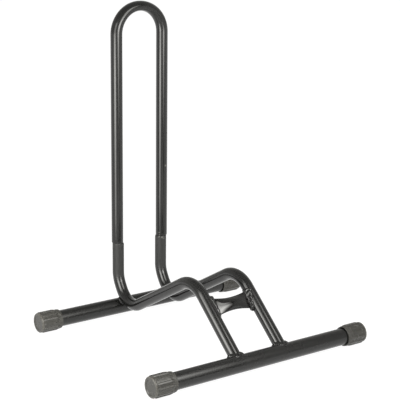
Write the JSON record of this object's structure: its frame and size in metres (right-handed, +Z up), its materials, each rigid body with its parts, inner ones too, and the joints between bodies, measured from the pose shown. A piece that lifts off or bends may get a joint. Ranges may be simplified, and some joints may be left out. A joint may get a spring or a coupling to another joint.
{
  "type": "bike wheel stand",
  "caption": "Floor stand for one bicycle wheel: a tall tube hoop on a welded frame of bent tubes, two base tubes and ribbed end caps.",
  "frame": {"origin": "on the floor, under the middle of the stand", "axes": "+X along the base tubes, to the right of someone who looks at the low front; +Y from the low front, where the wheel rolls in, towards the hoop; +Z up"},
  "size_m": [0.4212, 0.375, 0.5479],
  "materials": {
    "gloss_paint": "gloss black powder coat on steel tube",
    "satin_paint": "semi-gloss black powder coat on steel tube",
    "weld_paint": "gloss black powder coat over rippled weld beads",
    "cap_plastic": "dark grey moulded plastic, semi-matt"
  },
  "bodies": {
    "stand": {"left_bent_tube": "gloss_paint", "right_bent_tube": "gloss_paint", "brace_tube": "gloss_paint", "rear_base_tube": "satin_paint", "front_base_tube": "satin_paint", "rear_left_outer_weld": "weld_paint", "rear_left_inner_weld": "weld_paint", "rear_right_outer_weld": "weld_paint", "rear_right_inner_weld": "weld_paint", "front_left_weld": "weld_paint", "front_right_weld": "weld_paint", "brace_left_weld": "weld_paint", "brace_right_weld": "weld_paint", "rear_left_cap": "cap_plastic", "rear_right_cap": "cap_plastic", "front_left_cap": "cap_plastic", "front_right_cap": "cap_plastic"},
    "hoop": {"upper_hoop": "gloss_paint"}
  },
  "joints": [
    {"name": "hoop_lift", "type": "slide", "parent": "stand", "child": "hoop", "axis": [0, 0, 1], "range_m": [0, 0.045]}
  ]
}
